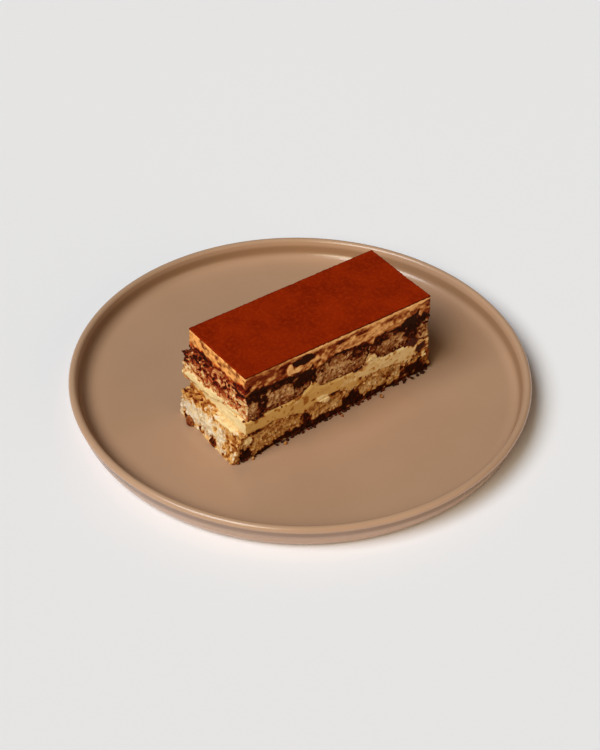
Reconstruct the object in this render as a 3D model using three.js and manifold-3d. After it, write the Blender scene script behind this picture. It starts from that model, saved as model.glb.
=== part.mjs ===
// A slice of tiramisu on a round stoneware plate, in millimetres, +Z up.
// The origin is the centre of the plate's foot, and +X runs along the slice's long side.
// The slice is two rows of soaked sponge fingers that lie across it, a cream between the
// rows, a cream on top and a dusting of cocoa. All four of its sides are knife cuts.
import * as THREE from "three";
import { mergeVertices } from "three/addons/utils/BufferGeometryUtils.js";
import Module from "manifold-3d";

const wasm = await Module();
wasm.setup();

// Plate: an upright rim with a round lip around a flat floor, on a broad flat foot. The outer wall meets
// the lip at an angle below its middle, so that the lip overhangs the wall.
const PLATE_RADIUS = 110;
const PLATE_HEIGHT = 15.6;
const PLATE_FLOOR = 6;
const LIP_RADIUS = 1.9;
const LIP_START = -Math.PI / 3;
const RIM_TAPER = 2.6;
const WALL_LEAN = Math.PI / 12;
const COVE_HEIGHT = 4.5;
const COVE_WIDTH = 5.5;
const FOOT_RADIUS = 101;
const FOOT_WIDTH = 14;
const FOOT_RECESS = 1.4;
const PLATE_SEGMENTS = 80;
const CURVE_STEPS = 5;

// Slice: its footprint at the top, and the heights of its layers from the plate up.
const SLICE_LENGTH = 106;
const SLICE_WIDTH = 45;
const SLICE_X = 0.7;
const SLICE_Y = -6.3;
const LOWER_HEIGHT = 14.5;
const MIDDLE_CREAM = 7;
const UPPER_HEIGHT = 15.5;
const TOP_CREAM = 10.2;
const COCOA_HEIGHT = 1;

// Sponge fingers: where each row starts at the left, and the widths of its fingers from there.
const LOWER_START = -56;
const LOWER_WIDTHS = [36, 25.6, 33.2, 13.2];
const UPPER_START = -53;
const UPPER_WIDTHS = [37, 34, 24.7, 9.1];
const FINGER_GAP = 0.4;
const CROWN_DROP = 4.2;
const LOWER_EDGE_LIFT = 1;
const UPPER_EDGE_LIFT = 4;
const UPPER_INSET = 0.7;

// The slice has settled: its right end leans out, its front leans back towards the right, the foot of
// its left end is spread at the front, and the left ends of both rows stand askew, out at the back. They
// turn about a line at a share of the slice's width from its front.
const END_LEAN = 5;
const FRONT_LEAN = 4;
const FOOT_SPREAD = 5.6;
const LOWER_TURN = 3;
const UPPER_TURN = 5.5;
const TURN_PIVOT = 0.3;

// Relief of the cut faces, and the clearance kept between pieces that are moulded to each other.
const CRAG_DEPTH = 0.9;
const CRAG_SIZE = 4.5;
const SMEAR_DEPTH = 0.3;
const DUST_DEPTH = 0.12;
const CLEARANCE = 0.3;
const CELL = 2.7;
const SEED = 12.9;

const LOWER_BASE = PLATE_FLOOR;
const UPPER_BASE = LOWER_BASE + LOWER_HEIGHT + MIDDLE_CREAM;
const COCOA_BASE = UPPER_BASE + UPPER_HEIGHT + TOP_CREAM;
const SLICE_HEIGHT = COCOA_BASE + COCOA_HEIGHT - LOWER_BASE;
// The two creams meet part of the way up the seams between the upper fingers.
const CREAM_SEAM = UPPER_BASE + UPPER_EDGE_LIFT + 1.5;
// The middle cream reaches down into the seams between the lower fingers.
const CREAM_FOOT = LOWER_BASE + LOWER_HEIGHT - 2 * CROWN_DROP;

const { lerp } = THREE.MathUtils;

function finish(color, roughness) {
  return new THREE.MeshStandardMaterial({ color, roughness, metalness: 0 });
}

const GLAZE = finish("#a58266", 0.42);
const SPONGE = finish("#b48a55", 0.9);
const SOAKED_SPONGE = finish("#8a5f38", 0.85);
const CREAM = finish("#ecd39c", 0.45);
const STAINED_CREAM = finish("#d9a974", 0.5);
const COCOA = finish("#7a2409", 0.95);

// Smooth noise from -1 to 1 on a lattice of unit cells.
function lattice(i, j, k) {
  const n = Math.sin(i * 127.1 + j * 311.7 + k * 74.7 + SEED) * 43758.5453;
  return 2 * (n - Math.floor(n)) - 1;
}

function noise(x, y, z) {
  const [i, j, k] = [x, y, z].map(Math.floor);
  const [u, v, w] = [x - i, y - j, z - k].map((t) => t * t * (3 - 2 * t));
  const along = (dj, dk) => lerp(lattice(i, j + dj, k + dk), lattice(i + 1, j + dj, k + dk), u);
  return lerp(lerp(along(0, 0), along(1, 0), v), lerp(along(0, 1), along(1, 1), v), w);
}

// How far a cut face stands proud at a point: broad crags with smaller ones on them.
function crag(x, y, z, depth) {
  const broad = CRAG_SIZE;
  const fine = CRAG_SIZE / 2.3;
  return depth * (0.65 * noise(x / broad, y / broad, z / broad) + 0.35 * noise(x / fine, y / fine, z / fine));
}

// A block of cells whose corners run from 0 to 1, moved to its shape by place(a, b, c).
function mouldedBlock(cellsX, cellsY, cellsZ, place) {
  const block = new THREE.BoxGeometry(1, 1, 1, cellsX, cellsY, cellsZ).translate(0.5, 0.5, 0.5);
  block.deleteAttribute("normal");
  block.deleteAttribute("uv");
  const merged = mergeVertices(block);
  const position = merged.getAttribute("position");
  for (let n = 0; n < position.count; n++) {
    position.setXYZ(n, ...place(position.getX(n), position.getY(n), position.getZ(n)));
  }
  return merged;
}

function solidOf(geometry) {
  const vertProperties = geometry.getAttribute("position").array;
  const triVerts = new Uint32Array(geometry.index.array);
  return new wasm.Manifold(new wasm.Mesh({ numProp: 3, vertProperties, triVerts }));
}

function geometryOf(solid) {
  const mesh = solid.getMesh();
  return new THREE.BufferGeometry()
    .setAttribute("position", new THREE.BufferAttribute(mesh.vertProperties, 3))
    .setIndex(new THREE.BufferAttribute(mesh.triVerts, 1));
}

// The plate's section, from the middle of its foot round the rim to the middle of its floor. The inner
// wall is tangent to the lip, and a cove rounds it into the floor.
function plateGeometry() {
  const lip = new THREE.Vector2(PLATE_RADIUS - LIP_RADIUS, PLATE_HEIGHT - LIP_RADIUS);
  const wallAt = (z) => lip.x - LIP_RADIUS / Math.cos(WALL_LEAN) - (lip.y - z) * Math.tan(WALL_LEAN);
  const coveTop = PLATE_FLOOR + COVE_HEIGHT;
  const wallFoot = wallAt(PLATE_FLOOR);
  const section = new THREE.Path();
  section.moveTo(0, FOOT_RECESS);
  section.lineTo(FOOT_RADIUS - FOOT_WIDTH - FOOT_RECESS, FOOT_RECESS);
  section.lineTo(FOOT_RADIUS - FOOT_WIDTH, 0);
  section.lineTo(FOOT_RADIUS, 0);
  section.quadraticCurveTo(PLATE_RADIUS - 2 * RIM_TAPER, 0, PLATE_RADIUS - RIM_TAPER, PLATE_FLOOR);
  section.absarc(lip.x, lip.y, LIP_RADIUS, LIP_START, Math.PI - WALL_LEAN, false);
  section.lineTo(wallAt(coveTop), coveTop);
  section.quadraticCurveTo(wallFoot, PLATE_FLOOR, wallFoot - COVE_WIDTH, PLATE_FLOOR);
  section.lineTo(0, PLATE_FLOOR);
  return new THREE.LatheGeometry(section.getPoints(CURVE_STEPS), PLATE_SEGMENTS).rotateX(Math.PI / 2);
}

// The fingers of one row, each with its place and the sides where the knife cut along it.
function fingerRow(row, widths) {
  let left = row.start;
  return widths.map((width, n) => {
    const finger = { ...row, name: `${row.name}_${n + 1}`, left, right: left + width };
    finger.cutLeft = n === 0;
    finger.cutRight = n === widths.length - 1;
    left += width + FINGER_GAP;
    return finger;
  });
}

// Underside and crown of a finger at the share a of its width. A cut side keeps its full height.
function fingerSection(finger, a) {
  const across = 2 * a - 1;
  const cut = across < 0 ? finger.cutLeft : finger.cutRight;
  const edge = cut ? 0 : Math.abs(across);
  const underside = finger.base + finger.lift * edge ** 4;
  const crown = finger.base + finger.height - CROWN_DROP * edge ** 3;
  return { underside, crown };
}

function fingerCells(finger) {
  return Math.max(3, Math.round((finger.right - finger.left) / CELL));
}

function fingerGeometry(finger) {
  const atEnd = finger.cutLeft || finger.cutRight;
  const cellsY = atEnd ? Math.round(SLICE_WIDTH / CELL) - 3 : 2;
  const halfWidth = SLICE_WIDTH / 2 - finger.inset;
  const place = (a, b, c) => {
    const { underside, crown } = fingerSection(finger, a);
    let x = lerp(finger.left, finger.right, a);
    if (finger.cutLeft) x -= (1 - a) * (finger.spread * (1 - b) * (1 - c) + finger.turn * (b - TURN_PIVOT));
    let y = lerp(-halfWidth, halfWidth, b);
    const z = lerp(underside, crown, c);
    const proud = crag(x, y, z, CRAG_DEPTH);
    if (b === 0) y -= proud;
    if (b === 1) y += proud;
    if (a === 0 && finger.cutLeft) x -= proud;
    if (a === 1 && finger.cutRight) x += proud;
    return [x, y, z];
  };
  return mouldedBlock(fingerCells(finger), cellsY, Math.round(finger.height / CELL), place);
}

// The room that a finger takes out of the creams: its own section, grown by the clearance, and long
// enough to leave the slice on every cut side.
function fingerRoom(finger) {
  const beyond = SLICE_WIDTH / 4;
  const place = (a, b, c) => {
    const { underside, crown } = fingerSection(finger, a);
    let x = lerp(finger.left - CLEARANCE, finger.right + CLEARANCE, a);
    if (a === 0 && finger.cutLeft) x -= beyond;
    if (a === 1 && finger.cutRight) x += beyond;
    const y = lerp(-1, 1, b) * (SLICE_WIDTH / 2 + beyond);
    return [x, y, lerp(underside - CLEARANCE, crown + CLEARANCE, c)];
  };
  return solidOf(mouldedBlock(fingerCells(finger), 1, 1, place));
}

// A level layer of the slice between two heights, with the knife's smears on its four sides.
function levelLayer(bottom, top, cellsZ, dust) {
  const place = (a, b, c) => {
    let x = lerp(-SLICE_LENGTH, SLICE_LENGTH, a) / 2;
    let y = lerp(-SLICE_WIDTH, SLICE_WIDTH, b) / 2;
    let z = lerp(bottom, top, c);
    const proud = crag(x, y, z, SMEAR_DEPTH);
    if (c === 1) z += crag(x, y, top, dust);
    if (b === 0) y -= proud;
    if (b === 1) y += proud;
    if (a === 0) x -= proud;
    if (a === 1) x += proud;
    return [x, y, z];
  };
  const cells = (length) => Math.round(length / (2 * CELL));
  return mouldedBlock(cells(SLICE_LENGTH), cells(SLICE_WIDTH), cellsZ, place);
}

// A cream fills its height of the slice and is moulded to the fingers around it.
function creamGeometry(bottom, top, rooms) {
  let solid = solidOf(levelLayer(bottom, top, 3, 0));
  for (const room of rooms) solid = solid.subtract(room);
  return geometryOf(solid);
}

// Leans a piece of the slice the way the whole slice has settled, more towards the foot and the right.
function settle(geometry) {
  const position = geometry.getAttribute("position");
  for (let n = 0; n < position.count; n++) {
    const right = position.getX(n) / SLICE_LENGTH + 0.5;
    const front = 0.5 - position.getY(n) / SLICE_WIDTH;
    const low = 1 - (position.getZ(n) - LOWER_BASE) / SLICE_HEIGHT;
    const share = Math.max(0, right) * Math.max(0, low);
    position.setX(n, position.getX(n) + END_LEAN * share);
    position.setY(n, position.getY(n) + FRONT_LEAN * share * Math.max(0, front));
  }
  return geometry;
}

const dessert = new THREE.Group();
const slice = new THREE.Group();
slice.position.set(SLICE_X, SLICE_Y, 0);
dessert.add(slice);

function addPiece(group, name, geometry, material) {
  const piece = new THREE.Mesh(geometry, material);
  piece.name = name;
  group.add(piece);
}

const lowerRow = fingerRow(
  {
    name: "lower_finger",
    start: LOWER_START,
    base: LOWER_BASE,
    height: LOWER_HEIGHT,
    lift: LOWER_EDGE_LIFT,
    inset: 0,
    spread: FOOT_SPREAD,
    turn: LOWER_TURN,
  },
  LOWER_WIDTHS,
);
const upperRow = fingerRow(
  {
    name: "upper_finger",
    start: UPPER_START,
    base: UPPER_BASE,
    height: UPPER_HEIGHT,
    lift: UPPER_EDGE_LIFT,
    inset: UPPER_INSET,
    spread: 0,
    turn: UPPER_TURN,
  },
  UPPER_WIDTHS,
);
const lowerRooms = lowerRow.map(fingerRoom);
const upperRooms = upperRow.map(fingerRoom);
const middleCream = creamGeometry(CREAM_FOOT, CREAM_SEAM, [...lowerRooms, ...upperRooms]);
const topCream = creamGeometry(CREAM_SEAM + CLEARANCE, COCOA_BASE, upperRooms);
const cocoa = levelLayer(COCOA_BASE, COCOA_BASE + COCOA_HEIGHT, 1, DUST_DEPTH);

addPiece(dessert, "plate", plateGeometry(), GLAZE);
for (const finger of lowerRow) addPiece(slice, finger.name, settle(fingerGeometry(finger)), SPONGE);
addPiece(slice, "middle_cream", settle(middleCream), CREAM);
for (const finger of upperRow) addPiece(slice, finger.name, settle(fingerGeometry(finger)), SOAKED_SPONGE);
addPiece(slice, "top_cream", settle(topCream), STAINED_CREAM);
addPiece(slice, "cocoa_dusting", settle(cocoa), COCOA);

export default dessert;
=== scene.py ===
# %% [markdown]
# # A slice of tiramisu on a stoneware plate
# The slice is two rows of sponge fingers soaked in coffee, a cream between the rows, a coffee-stained
# cream on top and a dusting of cocoa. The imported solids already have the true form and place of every
# layer. This lesson keeps those forms and gives them what a knife cut through real food shows: open
# crumb, wet dark rinds, smears of cream and loose crumbs. Everything is in metres, in the solids' frame.

# %% Load the solids
import math
from types import SimpleNamespace

import bmesh
import bpy
import numpy as np
from mathutils import Matrix, Vector
from mathutils.geometry import convex_hull_2d


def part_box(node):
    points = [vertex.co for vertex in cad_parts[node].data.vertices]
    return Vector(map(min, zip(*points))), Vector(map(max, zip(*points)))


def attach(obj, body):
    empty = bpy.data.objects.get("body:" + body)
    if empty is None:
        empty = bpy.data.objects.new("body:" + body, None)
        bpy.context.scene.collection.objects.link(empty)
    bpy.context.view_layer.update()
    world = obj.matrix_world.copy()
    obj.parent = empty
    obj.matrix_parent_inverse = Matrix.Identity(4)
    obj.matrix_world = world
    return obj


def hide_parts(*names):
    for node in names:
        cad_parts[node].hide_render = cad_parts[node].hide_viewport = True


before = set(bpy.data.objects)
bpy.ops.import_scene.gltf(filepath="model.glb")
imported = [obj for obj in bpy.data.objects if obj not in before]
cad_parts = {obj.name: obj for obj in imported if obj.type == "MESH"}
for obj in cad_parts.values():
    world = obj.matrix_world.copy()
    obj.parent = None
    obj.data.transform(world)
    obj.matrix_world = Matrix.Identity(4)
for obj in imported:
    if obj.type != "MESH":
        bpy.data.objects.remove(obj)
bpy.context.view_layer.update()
MM = 0.001
print("solids:", ", ".join(sorted(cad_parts)))

# %% [markdown]
# ## The camera
# The camera is placed by its angles and its distance from the plate's foot. Both came from fitting the
# ellipse of the plate's lip and the corners of the slice. A long lens keeps the plate's ellipse flat. A
# small vertical shift puts the plate a little below the middle, so the lens need not tilt for it.

# %% Place the camera
FRAME_HEIGHT = 750
FOCAL_PIXELS = 2023
PLATE_BELOW_MIDDLE = 20.2
VIEW_AZIMUTH = -37.07
VIEW_ELEVATION = 39.75
VIEW_ROLL = math.radians(1.06)
VIEW_DISTANCE = 0.9723


def direction(azimuth, elevation):
    """The unit vector towards a viewer or a lamp, from angles in degrees. Azimuth 0 looks along +Y."""
    turn, rise = math.radians(azimuth), math.radians(elevation)
    return Vector((math.sin(turn) * math.cos(rise), -math.cos(turn) * math.cos(rise), math.sin(rise)))


lens = bpy.data.cameras.new("camera")
lens.sensor_width = 36
lens.lens = lens.sensor_width * FOCAL_PIXELS / FRAME_HEIGHT
lens.shift_y = PLATE_BELOW_MIDDLE / FRAME_HEIGHT
camera = bpy.data.objects.new("camera", lens)
bpy.context.scene.collection.objects.link(camera)
towards_camera = direction(VIEW_AZIMUTH, VIEW_ELEVATION)
aim = (-towards_camera).to_track_quat("-Z", "Y").to_matrix() @ Matrix.Rotation(VIEW_ROLL, 3, "Z")
camera.matrix_world = Matrix.Translation(towards_camera * VIEW_DISTANCE) @ aim.to_4x4()
bpy.context.scene.camera = camera
print(f"camera: {lens.lens:.1f} mm lens at {VIEW_DISTANCE:.2f} m")

# %% [markdown]
# ## The light
# A soft window to the left lights the left end and the top, and throws the slice's shadow to the right. A
# second, lower and warmer one stands nearer to the camera and reaches the long side, which the first
# leaves dark, and a weak low one in front lifts that side a little. Sun lamps with a wide angle do for all
# three: their shadows are as soft as a window's, and they light the floor evenly however far it runs.

# %% Hang the lights
VIEW_TRANSFORM = "Standard"
COOL_DAYLIGHT = (0.91, 0.97, 1)
WARM_DAYLIGHT = (1, 0.94, 0.68)
CARD_LIGHT = (1, 0.74, 0.45)


def window(name, azimuth, elevation, spread, brightness, colour):
    """A sun lamp. A white card that faces it takes on the brightness given."""
    lamp = bpy.data.lights.new(name, "SUN")
    lamp.angle = math.radians(spread)
    lamp.energy = brightness * math.pi
    lamp.color = colour
    hung = bpy.data.objects.new(name, lamp)
    bpy.context.scene.collection.objects.link(hung)
    away = direction(azimuth, elevation)
    hung.matrix_world = Matrix.Translation(away) @ away.to_track_quat("Z", "Y").to_matrix().to_4x4()


window("left_window", azimuth=-87, elevation=51, spread=34, brightness=0.84, colour=COOL_DAYLIGHT)
window("near_window", azimuth=-58, elevation=38, spread=20, brightness=0.29, colour=WARM_DAYLIGHT)
window("front_card", azimuth=20, elevation=20, spread=50, brightness=0.19, colour=CARD_LIGHT)
bpy.context.scene.view_settings.view_transform = VIEW_TRANSFORM

# %% [markdown]
# ## A class for node sockets
# Shader and geometry trees are both graphs of sockets. Linking every Math node by hand hides the formula,
# so one small class wraps a socket and turns Python's operators into Math nodes. Every other node comes
# from its one method: the type, the settings, and then the values or wires of the inputs.


# %% Wrap a socket
class Wire:
    """An output socket of a node tree. Arithmetic on wires adds Math nodes."""

    def __init__(self, tree, socket):
        self.tree = tree
        self.socket = socket

    @staticmethod
    def node(tree, kind, settings=None, inputs=None, output=0):
        """Adds a node, gives it its settings, then its inputs, and returns one of its outputs."""
        made = tree.nodes.new(kind)
        for key, value in (settings or {}).items():
            setattr(made, key, value)
        for key, value in (inputs or {}).items():
            if isinstance(value, Wire):
                tree.links.new(value.socket, made.inputs[key])
            else:
                made.inputs[key].default_value = value
        return Wire(tree, made.outputs[output])

    def maths(self, operation, first, second=0.0):
        return Wire.node(self.tree, "ShaderNodeMath", {"operation": operation}, {0: first, 1: second})

    def __add__(self, other):
        return self.maths("ADD", self, other)

    __radd__ = __add__

    def __sub__(self, other):
        return self.maths("SUBTRACT", self, other)

    def __rsub__(self, other):
        return self.maths("SUBTRACT", other, self)

    def __mul__(self, other):
        return self.maths("MULTIPLY", self, other)

    __rmul__ = __mul__

    def __rtruediv__(self, other):
        return self.maths("DIVIDE", other, self)


# %% Shape values with nodes
def ease(value, low, high):
    """0 below low, 1 above high and a smooth step between."""
    settings = {"interpolation_type": "SMOOTHSTEP"}
    return Wire.node(value.tree, "ShaderNodeMapRange", settings, {0: value, 1: low, 2: high})


def blend(factor, first, second):
    """A mix of two colours."""
    settings = {"data_type": "RGBA"}
    return Wire.node(factor.tree, "ShaderNodeMix", settings, {0: factor, 6: first, 7: second}, 2)


def texture_noise(place, size, detail=2.0, seed=0.0):
    """Soft noise from 0 to 1 whose lumps are about that size in metres."""
    inputs = {"Vector": place, "W": seed, "Scale": 1 / size, "Detail": detail}
    return Wire.node(place.tree, "ShaderNodeTexNoise", {"noise_dimensions": "4D"}, inputs)


def scaled(vector, factor):
    """A vector times a number."""
    inputs = {0: vector, "Scale": factor}
    return Wire.node(vector.tree, "ShaderNodeVectorMath", {"operation": "SCALE"}, inputs)


def stretched(vector, factors):
    """A vector times a factor for each axis."""
    inputs = {0: vector, 1: factors}
    return Wire.node(vector.tree, "ShaderNodeVectorMath", {"operation": "MULTIPLY"}, inputs)


def part_of(vector, axis):
    return Wire.node(vector.tree, "ShaderNodeSeparateXYZ", inputs={0: vector}, output=axis)


# %% [markdown]
# ## The stage and the backdrop
# The floor is a plain pale disc. It isn't part of the object. The world is pale
# only near the horizon, where low views look past the floor, so that it doesn't wash out the shadows.

# %% Lay the floor
FLOOR_RADIUS = 6
FLOOR_DROP = 0.1 * MM
floor_mesh = bpy.data.meshes.new("floor")
builder = bmesh.new()
bmesh.ops.create_circle(builder, cap_ends=True, segments=96, radius=FLOOR_RADIUS)
builder.to_mesh(floor_mesh)
builder.free()
floor = bpy.data.objects.new("floor", floor_mesh)
floor.location.z = -FLOOR_DROP
bpy.context.scene.collection.objects.link(floor)
print(f"floor: a disc {2 * FLOOR_RADIUS} m across")

# %% Paint the floor
PALE_FLOOR = (0.91, 0.89, 0.93, 1)
PALER_FLOOR = (0.93, 0.91, 0.95, 1)
FLOOR_CLOUD_SIZE = 0.4


def new_material(name, roughness, **constants):
    """A material with a Principled shader, its constant sockets set, and its tree."""
    made = bpy.data.materials.new(name)
    made.use_nodes = True
    shader = made.node_tree.nodes["Principled BSDF"]
    shader.inputs["Roughness"].default_value = roughness
    for socket, value in constants.items():
        shader.inputs[socket.replace("_", " ")].default_value = value
    return made, made.node_tree, shader


def feed(shader, socket, wire):
    """Links a wire to one of the shader's own sockets."""
    wire.tree.links.new(wire.socket, shader.inputs[socket])


def object_place(tree):
    return Wire.node(tree, "ShaderNodeTexCoord", output="Object")


def plain_floor():
    material, tree, shader = new_material("pale_floor", 0.9)
    clouds = texture_noise(object_place(tree), FLOOR_CLOUD_SIZE)
    feed(shader, "Base Color", blend(clouds, PALE_FLOOR, PALER_FLOOR))
    return material


floor.data.materials.append(plain_floor())
print("floor finish:", floor.data.materials[0].name)

# %% Light the horizon
HORIZON = (0.45, 0.44, 0.43, 1)
ZENITH = (0.02, 0.019, 0.018, 1)
HAZE_BAND = (0.02, 0.12)
world = bpy.data.worlds.new("studio")
bpy.context.scene.world = world
world.use_nodes = True
sky = world.node_tree
ray = Wire.node(sky, "ShaderNodeTexCoord", output="Generated")
backdrop = blend(ease(part_of(ray, "Z"), *HAZE_BAND), HORIZON, ZENITH)
sky.links.new(backdrop.socket, sky.nodes["Background"].inputs["Color"])
print("world:", world.name)

# %% [markdown]
# ## Geometry Nodes trees
# Each tree is made in the script with named inputs. A modifier takes its inputs by socket identifier, and
# the evaluated result becomes a plain mesh, so that nothing live is left on a finished piece.


# %% Make a node tree
def plain_name(socket):
    return socket.name.replace(" ", "_").lower()


def new_tree(name, sizes):
    """A geometry tree with a geometry input, named number inputs, a seed and a material."""
    tree = bpy.data.node_groups.new(name, "GeometryNodeTree")
    kinds = {"Geometry": "NodeSocketGeometry", **dict.fromkeys(sizes, "NodeSocketFloat")}
    kinds.update({"Seed": "NodeSocketInt", "Material": "NodeSocketMaterial"})
    for label, kind in kinds.items():
        tree.interface.new_socket(label, in_out="INPUT", socket_type=kind)
    tree.interface.new_socket("Geometry", in_out="OUTPUT", socket_type="NodeSocketGeometry")
    entry = tree.nodes.new("NodeGroupInput")
    return tree, SimpleNamespace(**{plain_name(s): Wire(tree, s) for s in entry.outputs if s.name})


def joined(first, second):
    made = Wire.node(first.tree, "GeometryNodeJoinGeometry", inputs={0: first})
    first.tree.links.new(second.socket, made.socket.node.inputs[0])
    return made


def close_tree(tree, geometry, material):
    """Ends a tree in Realize Instances, smooth faces and Set Material."""
    realized = Wire.node(tree, "GeometryNodeRealizeInstances", inputs={0: geometry})
    smooth = Wire.node(tree, "GeometryNodeSetShadeSmooth", inputs={0: realized})
    dressed = Wire.node(tree, "GeometryNodeSetMaterial", inputs={0: smooth, "Material": material})
    leave = tree.nodes.new("NodeGroupOutput")
    tree.links.new(dressed.socket, leave.inputs[0])
    print(f"tree '{tree.name}': {len(tree.nodes)} nodes")
    return tree


# %% Run a node tree
def new_object(name, mesh):
    made = bpy.data.objects.new(name, mesh)
    bpy.context.scene.collection.objects.link(made)
    return made


def settle_mesh(piece):
    """Replaces a piece's mesh by its evaluated one and removes its modifiers."""
    graph = bpy.context.evaluated_depsgraph_get()
    mesh = bpy.data.meshes.new_from_object(piece.evaluated_get(graph))
    piece.modifiers.clear()
    piece.data = mesh
    mesh.name = piece.name
    return piece


def run_tree(piece, tree, **inputs):
    """Runs a geometry tree on a piece; the inputs are named as in the tree, with _ for a space."""
    modifier = piece.modifiers.new(tree.name, "NODES")
    modifier.node_group = tree
    sockets = {plain_name(s): s.identifier for s in tree.interface.items_tree if s.in_out == "INPUT"}
    for name, value in inputs.items():
        modifier[sockets[name]] = value
    return settle_mesh(piece)


def finish_piece(piece, slot, *nodes):
    """Finishes a piece: it rides on the one body, and stands for its solids, which are hidden."""
    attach(piece, "root")
    if nodes:
        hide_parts(*nodes)
    print(f"{piece.name}: {len(piece.data.polygons)} faces")


# %% [markdown]
# ## The plate
# A potter throws or presses such a plate as a solid of revolution, so its section is all that has to be
# drawn: foot, wall, round lip, cove and floor. Spinning it by Geometry Nodes keeps the section as a short
# list of named sizes. Curve to Mesh sweeps the section round a circle, and because the section's ends lie
# on the axis, merging the doubled points there closes the surface.

# %% Draw the plate's section
plate_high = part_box("plate")[1]
PLATE_RADIUS = plate_high.x
PLATE_HEIGHT = plate_high.z
PLATE_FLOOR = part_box("lower_finger_2")[0].z
LIP_RADIUS = 1.9 * MM
LIP_START = math.radians(-60)
RIM_TAPER = 2.6 * MM
WALL_LEAN = math.radians(15)
COVE_HEIGHT = 4.5 * MM
COVE_WIDTH = 5.5 * MM
FOOT_RADIUS = 101 * MM
FOOT_WIDTH = 14 * MM
FOOT_RECESS = 1.4 * MM
CURVE_STEPS = 12


def bend(start, control, end):
    """Points along a quadratic curve, without its first point."""
    t = np.linspace(0, 1, CURVE_STEPS + 1)[1:, None]
    curve = (1 - t) ** 2 * np.array(start) + 2 * t * (1 - t) * np.array(control) + t**2 * np.array(end)
    return [tuple(p) for p in curve]


def arc(centre, radius, start, end):
    angles = np.linspace(start, end, 2 * CURVE_STEPS + 1)
    return [(centre[0] + radius * math.cos(a), centre[1] + radius * math.sin(a)) for a in angles]


def plate_section():
    """Radius and height of the section, from the middle of the foot to the middle of the floor."""
    lip = (PLATE_RADIUS - LIP_RADIUS, PLATE_HEIGHT - LIP_RADIUS)

    def wall_at(height):
        return lip[0] - LIP_RADIUS / math.cos(WALL_LEAN) - (lip[1] - height) * math.tan(WALL_LEAN)

    cove_top = (wall_at(PLATE_FLOOR + COVE_HEIGHT), PLATE_FLOOR + COVE_HEIGHT)
    wall_foot = (wall_at(PLATE_FLOOR), PLATE_FLOOR)
    points = [(0, FOOT_RECESS), (FOOT_RADIUS - FOOT_WIDTH - FOOT_RECESS, FOOT_RECESS)]
    points += [(FOOT_RADIUS - FOOT_WIDTH, 0), (FOOT_RADIUS, 0)]
    points += bend(points[-1], (PLATE_RADIUS - 2 * RIM_TAPER, 0), (PLATE_RADIUS - RIM_TAPER, PLATE_FLOOR))
    points += arc(lip, LIP_RADIUS, LIP_START, math.pi - WALL_LEAN) + [cove_top]
    points += bend(cove_top, wall_foot, (wall_foot[0] - COVE_WIDTH, PLATE_FLOOR))
    return points + [(0, PLATE_FLOOR)]


print(f"plate: {2 * PLATE_RADIUS / MM:.0f} mm across, drawn with {len(plate_section())} points")

# %% Spin the section
SWEEP_RADIUS = PLATE_RADIUS / 2
PLATE_SEGMENTS = 256
MERGE_DISTANCE = 0.001 * MM


def spin_tree():
    tree, given = new_tree("spun_section", ["Sweep Radius"])
    section = Wire.node(tree, "GeometryNodeMeshToCurve", inputs={0: given.geometry})
    sizes = {"Radius": given.sweep_radius, "Resolution": PLATE_SEGMENTS}
    path = Wire.node(tree, "GeometryNodeCurvePrimitiveCircle", inputs=sizes)
    swept = Wire.node(tree, "GeometryNodeCurveToMesh", inputs={"Curve": path, "Profile Curve": section})
    merge = {"Geometry": swept, "Distance": MERGE_DISTANCE}
    merged = Wire.node(tree, "GeometryNodeMergeByDistance", inputs=merge)
    return close_tree(tree, merged, given.material)


def spun_plate(material):
    corners = [(r - SWEEP_RADIUS, -z, 0) for r, z in reversed(plate_section())]
    mesh = bpy.data.meshes.new("plate_section")
    mesh.from_pydata(corners, [(i, i + 1) for i in range(len(corners) - 1)], [])
    dish = new_object("stoneware_plate", mesh)
    return run_tree(dish, spin_tree(), sweep_radius=SWEEP_RADIUS, material=material)


# %% [markdown]
# ## The glaze
# The plate has a satin taupe glaze. On the real one it is even from a step away, with faint clouding and a
# few iron specks. The inner wall is painted darker as painted shade, and the lip a little paler, partly
# where the glaze runs thinner over it and partly as a painted highlight. Clouding and specks are noise on
# Object coordinates, and the wall shade and the paler lip follow the height, so all of it survives a bake.

# %% Mix the glaze
TAUPE = (0.45, 0.264, 0.163, 1)
PALE_TAUPE = (0.475, 0.28, 0.174, 1)
IRON_SPECK = (0.2, 0.1, 0.05, 1)
# painted shade: the darker colour of the plate's inner wall
WALL_SHADE_GLAZE = (0.29, 0.15, 0.076, 1)
# partly a paler glaze where it runs thinner over the lip, partly a painted highlight
PALE_LIP_GLAZE_AND_HIGHLIGHT = (0.56, 0.4, 0.27, 1)
SPECK_SPACING = 2.6 * MM


def cells(place, size, output):
    """A Voronoi texture with cells of about that size: distances from their middles, or their colours."""
    inputs = {"Vector": place, "Scale": 1 / size, "Randomness": 1.0}
    return Wire.node(place.tree, "ShaderNodeTexVoronoi", inputs=inputs, output=output)


def feed_bump(shader, height, strength, distance):
    """Gives the shader's normal a fine relief through a Bump node."""
    inputs = {"Strength": strength, "Distance": distance, "Height": height}
    feed(shader, "Normal", Wire.node(height.tree, "ShaderNodeBump", inputs=inputs))


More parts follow.
